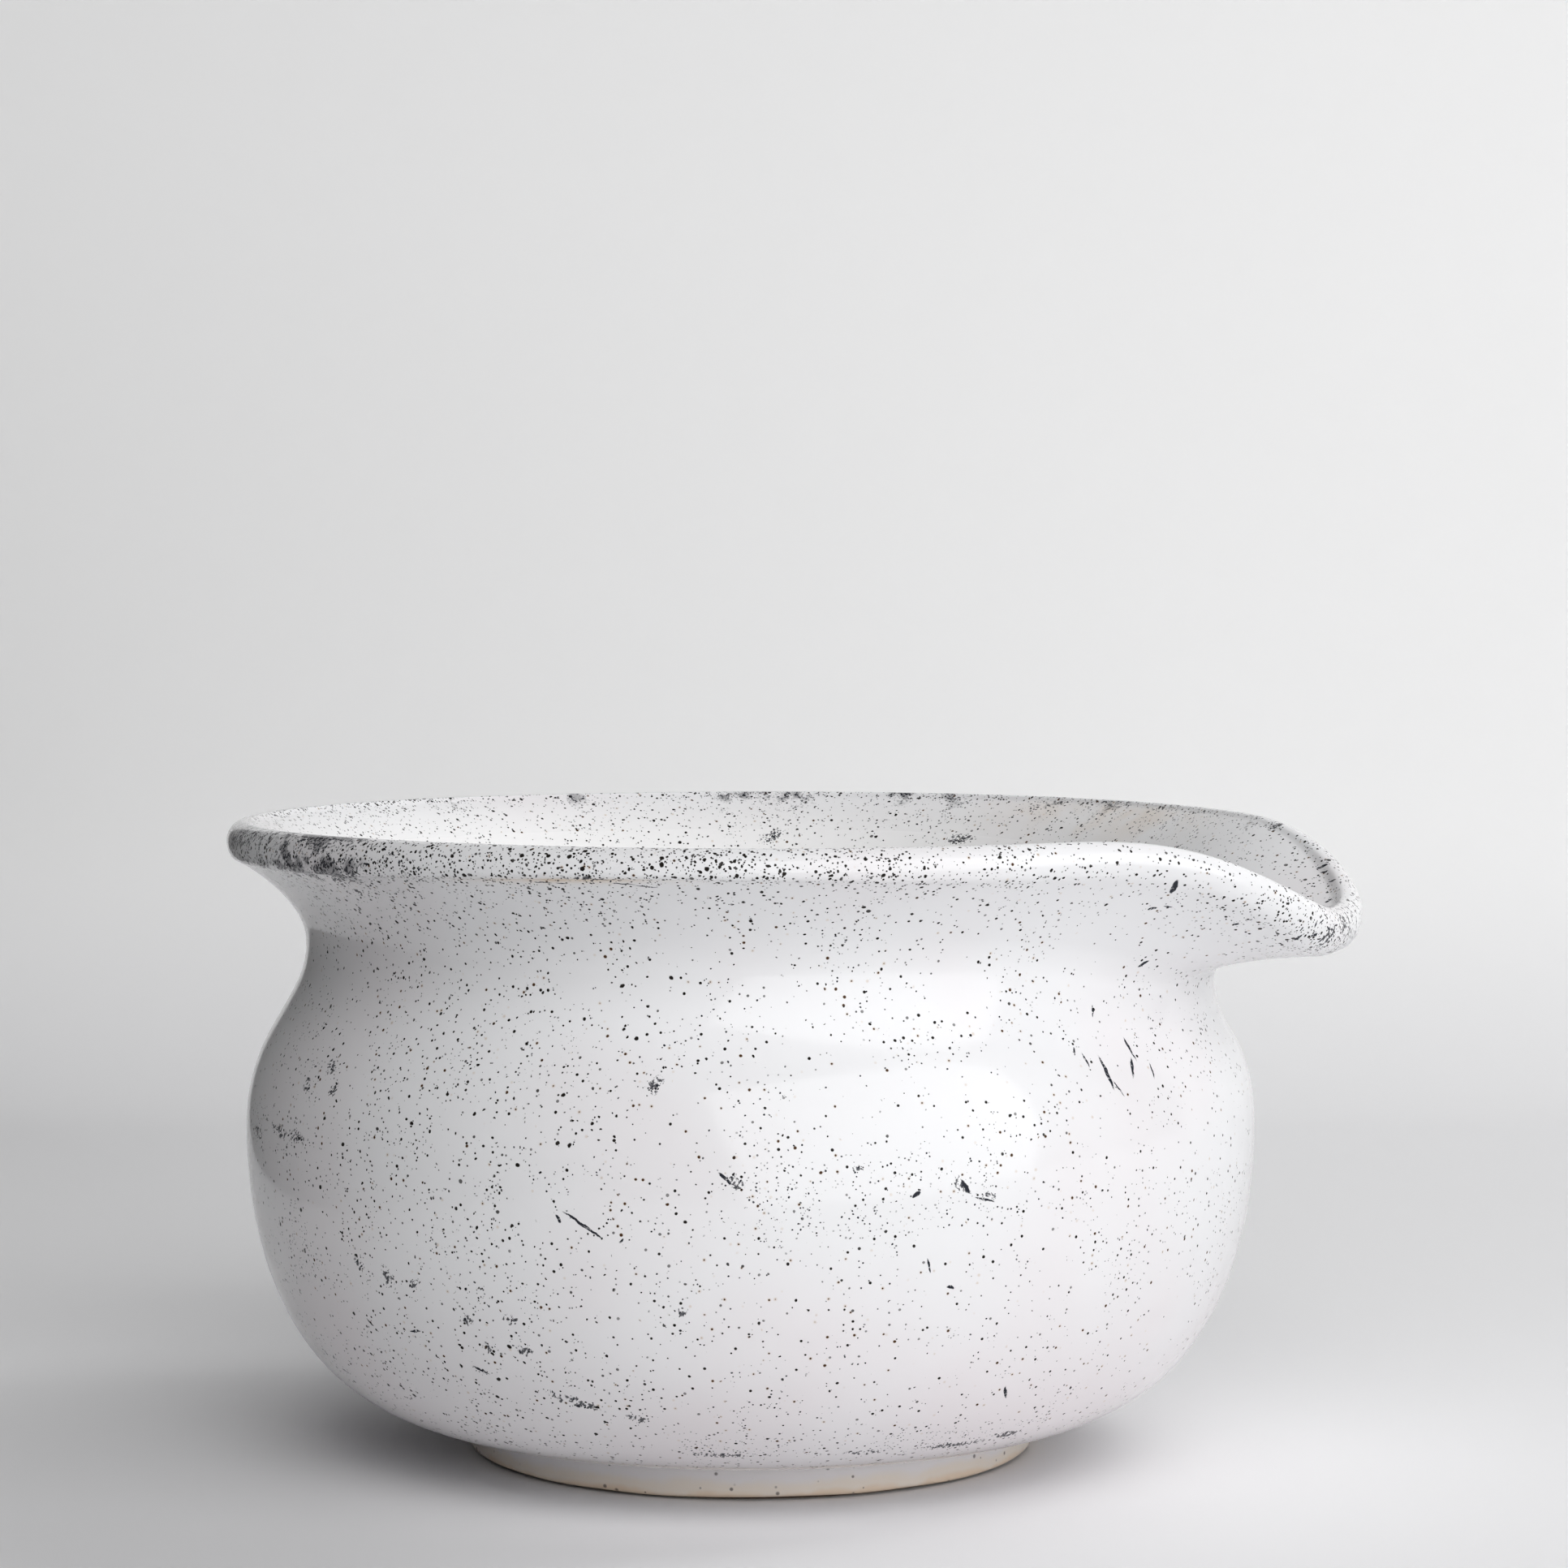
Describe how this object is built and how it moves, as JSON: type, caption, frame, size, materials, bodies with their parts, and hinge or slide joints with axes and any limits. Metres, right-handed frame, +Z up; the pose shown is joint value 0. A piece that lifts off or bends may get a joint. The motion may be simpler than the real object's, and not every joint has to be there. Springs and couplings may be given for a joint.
{
  "type": "spouted tea bowl",
  "caption": "Round-bellied glazed stoneware tea bowl with a narrow neck, flared bead rim, pulled pouring spout and low foot ring, for whisking and pouring matcha.",
  "frame": {"origin": "on the table, under the middle of the bowl's length over the spout and its width", "axes": "+X towards the spout, +Z up"},
  "size_m": [0.1396, 0.1284, 0.0777],
  "materials": {
    "stoneware": "bare fired stoneware, matt, light tan",
    "white_glaze": "glossy white glaze with dark pinhole specks and scuffs",
    "speckled_rim_glaze": "glossy white glaze over a dense dark speckled wash",
    "warm_foot_glaze": "glossy cream glaze, warmer towards its lower edge"
  },
  "bodies": {
    "root": {"stoneware_bowl": "stoneware", "pouring_spout": "stoneware", "foot_ring": "stoneware", "outside_glaze": "white_glaze", "inside_glaze": "white_glaze", "rim_glaze": "speckled_rim_glaze", "foot_glaze": "warm_foot_glaze"}
  },
  "joints": []
}
